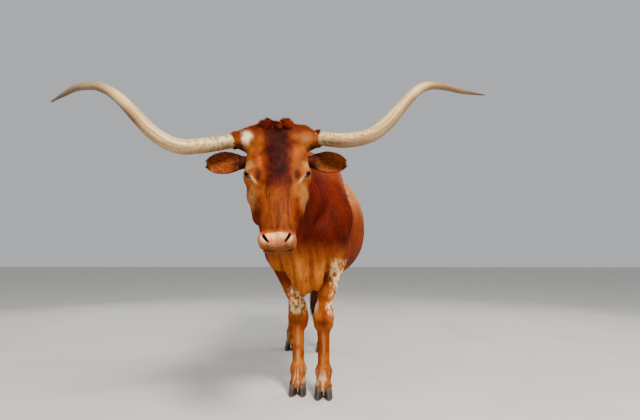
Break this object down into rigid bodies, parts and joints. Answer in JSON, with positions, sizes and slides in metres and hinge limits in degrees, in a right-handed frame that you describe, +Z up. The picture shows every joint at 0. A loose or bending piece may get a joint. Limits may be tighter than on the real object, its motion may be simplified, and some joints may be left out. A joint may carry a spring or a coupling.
{
  "type": "texas longhorn steer",
  "caption": "Life-size longhorn steer standing with its head low and forward, wide upswept horns, deep dewlap and brisket, long tail.",
  "frame": {"origin": "on the floor under the middle of the whole animal", "axes": "+Y from the muzzle towards the tail, +X towards the animal's left side, +Z up"},
  "size_m": [1.8952, 2.59, 1.568],
  "materials": {
    "coat": "short glossy hair, dark red with golden cheeks and brisket",
    "hair": "long coarse hair",
    "horn": "ivory horn, ringed at the base and darker to the tip",
    "hoof": "dull dark horn",
    "eye": "wet"
  },
  "bodies": {
    "root": {"neck": "coat", "horn_left": "horn", "horn_right": "horn", "ear_left": "coat", "ear_right": "coat", "eye_left": "eye", "eye_right": "eye", "head": "coat", "left_forearm": "coat", "left_fore_claw_outer": "hoof", "left_fore_dewclaw_outer": "hoof", "left_fore_claw_inner": "hoof", "left_fore_dewclaw_inner": "hoof", "left_fore_cannon": "coat", "left_gaskin": "coat", "left_hind_claw_outer": "hoof", "left_hind_dewclaw_outer": "hoof", "left_hind_claw_inner": "hoof", "left_hind_dewclaw_inner": "hoof", "left_hind_cannon": "coat", "right_forearm": "coat", "right_fore_claw_outer": "hoof", "right_fore_dewclaw_outer": "hoof", "right_fore_claw_inner": "hoof", "right_fore_dewclaw_inner": "hoof", "right_fore_cannon": "coat", "right_gaskin": "coat", "right_hind_claw_outer": "hoof", "right_hind_dewclaw_outer": "hoof", "right_hind_claw_inner": "hoof", "right_hind_dewclaw_inner": "hoof", "right_hind_cannon": "coat", "tail_upper": "coat", "tail_lower": "coat", "tail_switch": "hair", "trunk": "coat"}
  },
  "joints": []
}
